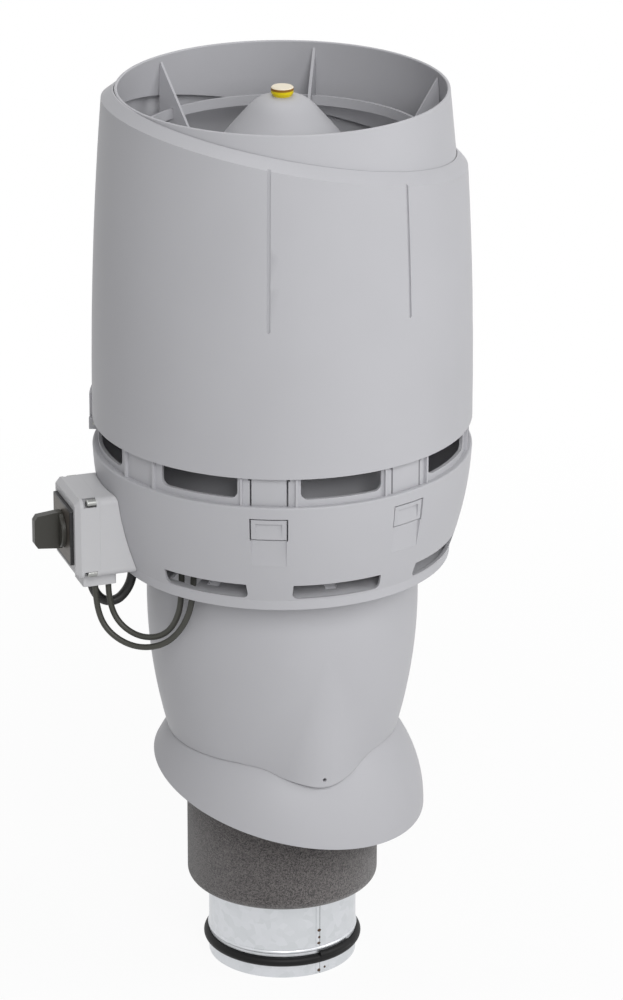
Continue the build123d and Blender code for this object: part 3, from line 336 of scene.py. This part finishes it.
# Each mark has its angle about the duct, its height, how far out it lies,
# and its length and breadth as shares of the disc's
welds = {
    "name": "seamWeldMarks", "radius": 0.0016, "depth": 0.0003,
    "marks": ((281.2, 0.0405, 0.06252, 0.85, 1.1), (281.3, 0.0340, 0.06252, 0.75, 0.7),
              (280.9, 0.0286, 0.06252, 0.7, 1.0), (281.0, 0.0032, 0.06252, 0.9, 0.95),
              (286.5, 0.0046, 0.0622, 0.65, 0.6)),
}
weldPlaces = [((r * cos(radians(at)), r * sin(radians(at)), z), (0, pi / 2, radians(at)),
               (tall, wide, 1))
              for at, z, r, tall, wide in welds["marks"]]
weldMarks = repeatShape(welds["name"], weldPlaces, weldDisc, scorch,
                        radius=welds["radius"], depth=welds["depth"])

# Cross recesses in the cover screw heads, drawn as thin dark crosses whose dark colour is painted
# shade
recess = {
    "name": "coverScrewRecesses", "x": -0.1756, "y": 0.0284, "z": (0.3756, 0.4364),
    "length": 0.0034, "width": 0.0008, "depth": 0.0002,
}
recessPlaces = [((recess["x"], side * recess["y"], z), (0, -pi / 2, 0), (1, 1, 1))
                for side in (-1, 1) for z in recess["z"]]
recesses = repeatShape(recess["name"], recessPlaces, crossRecess, paintedRecessShade,
                       length=recess["length"], width=recess["width"], depth=recess["depth"])


def seamStrip(name, spec, heights):
    # Narrow strip up the bare steel, between two heights
    inner = spec["r"] - spec["sink"]
    outer = spec["r"] + spec["lift"]
    corners = ((-spec["half"], inner), (-spec["half"], outer),
               (spec["half"], outer), (spec["half"], inner))
    verts = []
    for z in heights:
        for along, r in corners:
            turn = radians(spec["at"]) + along / spec["r"]
            verts.append((r * cos(turn), r * sin(turn), z))
    sides = [(0, 1, 5, 4), (1, 2, 6, 5), (2, 3, 7, 6), (3, 0, 4, 7)]
    ends = [(3, 2, 1, 0), (4, 5, 6, 7)]
    mesh = bpy.data.meshes.new(name)
    mesh.from_pydata(verts, [], sides + ends)
    mesh.materials.append(spec["finish"])
    piece = addObject(name, mesh)
    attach(piece, "base")


# Lapped edge of the duct sheet, raised on the bare steel, and beside it a thin dark strip that is
# painted shadow of the lap
lap = {"name": "ductSeam", "at": 280.1, "r": 0.0622, "half": 0.0016, "lift": 0.00035,
       "sink": 0.0001, "finish": zincSheet}
seamShadowLine = {"name": "ductSeamShadow", "at": 281.8, "r": 0.0622, "half": 0.0002, "lift": 0.0003,
          "sink": 0.0001, "finish": paintedSeamShadow}
# Below and above the seal
seamHeights = {"Low": (0.0003, 0.0105), "High": (0.0256, 0.0695)}
for part, heights in seamHeights.items():
    for spec in (lap, seamShadowLine):
        seamStrip(spec["name"] + part, spec, heights)
print("stage: small marks placed")


def seenRay(tree):
    # One for rays that the eye, a mirror or a glass sends out, zero for light on the object
    ray = addNode(tree, "ShaderNodeLightPath").outputs
    direct = addNode(tree, "ShaderNodeMath",
                     {0: ray["Is Camera Ray"], 1: ray["Is Glossy Ray"]}, operation="MAXIMUM")
    return addNode(tree, "ShaderNodeMath",
                   {0: direct.outputs[0], 1: ray["Is Transmission Ray"]},
                   operation="MAXIMUM").outputs[0]


def addFloor(spec):
    # White paper that keeps the shadow near the object and is as white as the room further out
    material = blankMaterial("white studio paper")
    tree = material.node_tree
    paper = addNode(tree, "ShaderNodeBsdfDiffuse", Color=linear("#f2f2f2"))
    glow = addNode(tree, "ShaderNodeEmission", Color=(1, 1, 1, 1), Strength=1.0)
    place = addNode(tree, "ShaderNodeTexCoord").outputs["Object"]
    away = addNode(tree, "ShaderNodeVectorMath", {0: place}, operation="LENGTH")
    fade = addNode(tree, "ShaderNodeMapRange", {"Value": away.outputs["Value"]},
                   From_Min=spec["shadowTo"], From_Max=spec["whiteFrom"],
                   To_Min=spec["nearWhite"], To_Max=1.0)
    share = addNode(tree, "ShaderNodeMath", {0: seenRay(tree), 1: fade.outputs["Result"]},
                    operation="MULTIPLY")
    mix = addNode(tree, "ShaderNodeMixShader",
                  {0: share.outputs[0], 1: paper.outputs[0], 2: glow.outputs[0]})
    addNode(tree, "ShaderNodeOutputMaterial", {"Surface": mix.outputs[0]})
    half, z = spec["half"], spec["z"]
    corners = [(-half, -half, z), (half, -half, z), (half, half, z), (-half, half, z)]
    mesh = bpy.data.meshes.new(spec["name"])
    mesh.from_pydata(corners, [], [(0, 1, 2, 3)])
    mesh.materials.append(material)
    floor = addObject(spec["name"], mesh)


def addRoom(spec):
    # White all round to the eye, and a softer light on the object
    world = bpy.data.worlds.new(spec["name"])
    bpy.context.scene.world = world
    world.use_nodes = True
    tree = world.node_tree
    tree.nodes.clear()
    soft = addNode(tree, "ShaderNodeBackground", Color=(1, 1, 1, 1), Strength=spec["light"])
    seen = addNode(tree, "ShaderNodeBackground", Color=(1, 1, 1, 1), Strength=1.0)
    mix = addNode(tree, "ShaderNodeMixShader",
                  {0: seenRay(tree), 1: soft.outputs[0], 2: seen.outputs[0]})
    addNode(tree, "ShaderNodeOutputWorld", {"Surface": mix.outputs[0]})


def addLamp(spec):
    # Soft panel on a circle about the object, aimed near the middle of its height
    aimHeight = 0.42
    lamp = bpy.data.lights.new(spec["name"], "AREA")
    lamp.energy = spec["power"]
    lamp.shape = "RECTANGLE"
    lamp.size, lamp.size_y = spec["size"]
    holder = addObject(spec["name"], lamp)
    turn = radians(spec["at"])
    r = spec["distance"]
    holder.location = (r * cos(turn), r * sin(turn), spec["height"])
    aim = addObject(spec["name"] + "Aim", None)
    aim.location = (0, 0, aimHeight)
    follow = holder.constraints.new("TRACK_TO")
    follow.target = aim
    follow.track_axis = "TRACK_NEGATIVE_Z"
    follow.up_axis = "UP_Y"


addFloor({"name": "floor", "half": 12, "z": -0.0005, "shadowTo": 0.25, "whiteFrom": 1.3,
          "nearWhite": 0.93})
addRoom({"name": "white room", "light": 0.28})
addLamp({"name": "keyPanel", "at": 262.0, "distance": 2.6, "height": 2.2, "size": (1.6, 1.6),
         "power": 51.0})
addLamp({"name": "sidePanel", "at": 328.0, "distance": 2.6, "height": 1.5, "size": (1.2, 1.8),
         "power": 24.0})
addLamp({"name": "topPanel", "at": 90.0, "distance": 0.6, "height": 3.0, "size": (1.6, 1.6),
         "power": 16.0})


def addCamera(spec):
    lens = bpy.data.cameras.new(spec["name"])
    lens.lens = spec["focal"]
    lens.sensor_width = spec["sensor"]
    lens.shift_x = spec["shift"]
    lens.clip_end = spec["reach"]
    eye = addObject(spec["name"], lens)
    eye.location = spec["at"]
    eye.rotation_euler = [radians(v) for v in spec["turn"]]
    bpy.context.scene.camera = eye


# Long lens from a little above, off to the object's left, as in the photograph
addCamera({"name": "camera", "focal": 168.99, "sensor": 36.0, "shift": 0.0292, "reach": 100.0,
           "at": (-1.1370, -3.3982, 1.8236), "turn": (68.43, 0, -18.5)})
bpy.context.scene.view_settings.view_transform = "Standard"
print("stage: light and camera set")

bpy.context.view_layer.update()
